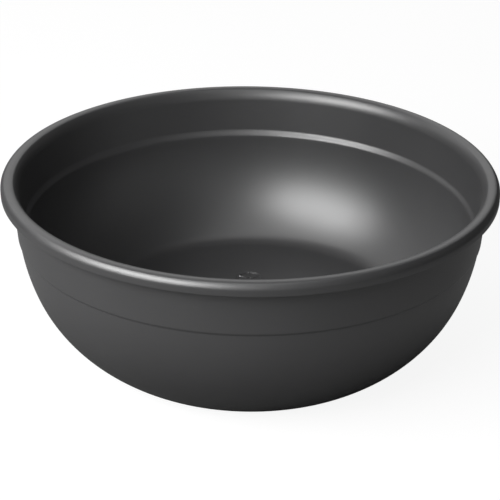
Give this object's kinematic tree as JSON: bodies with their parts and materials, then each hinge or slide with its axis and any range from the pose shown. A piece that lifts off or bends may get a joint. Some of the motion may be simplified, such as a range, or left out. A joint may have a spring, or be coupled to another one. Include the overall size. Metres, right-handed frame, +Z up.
{
  "type": "garden planter bowl",
  "caption": "Low round planter bowl with a rolled rim, an upper band with a stacking step, a flat raised floor and push-in drain plugs that lift out.",
  "frame": {"origin": "centre of the foot ring, on the ground", "axes": "+Z up along the bowl's axis, -Y towards the viewer of the picture"},
  "size_m": [0.305, 0.305, 0.1135],
  "materials": {
    "bowl_plastic": "fine satin moulded charcoal",
    "plug_plastic": "satin moulded charcoal"
  },
  "bodies": {
    "bowl": {"bowl_shell": "bowl_plastic"},
    "plug_1": {"drain_plug_1": "plug_plastic"},
    "plug_2": {"drain_plug_2": "plug_plastic"},
    "plug_3": {"drain_plug_3": "plug_plastic"},
    "plug_4": {"drain_plug_4": "plug_plastic"}
  },
  "joints": [
    {"name": "plug_lift_1", "type": "slide", "parent": "bowl", "child": "plug_1", "axis": [0, 0, 1], "range_m": [0, 0.115]},
    {"name": "plug_lift_2", "type": "slide", "parent": "bowl", "child": "plug_2", "axis": [0, 0, 1], "range_m": [0, 0.115]},
    {"name": "plug_lift_3", "type": "slide", "parent": "bowl", "child": "plug_3", "axis": [0, 0, 1], "range_m": [0, 0.115]},
    {"name": "plug_lift_4", "type": "slide", "parent": "bowl", "child": "plug_4", "axis": [0, 0, 1], "range_m": [0, 0.115]}
  ]
}
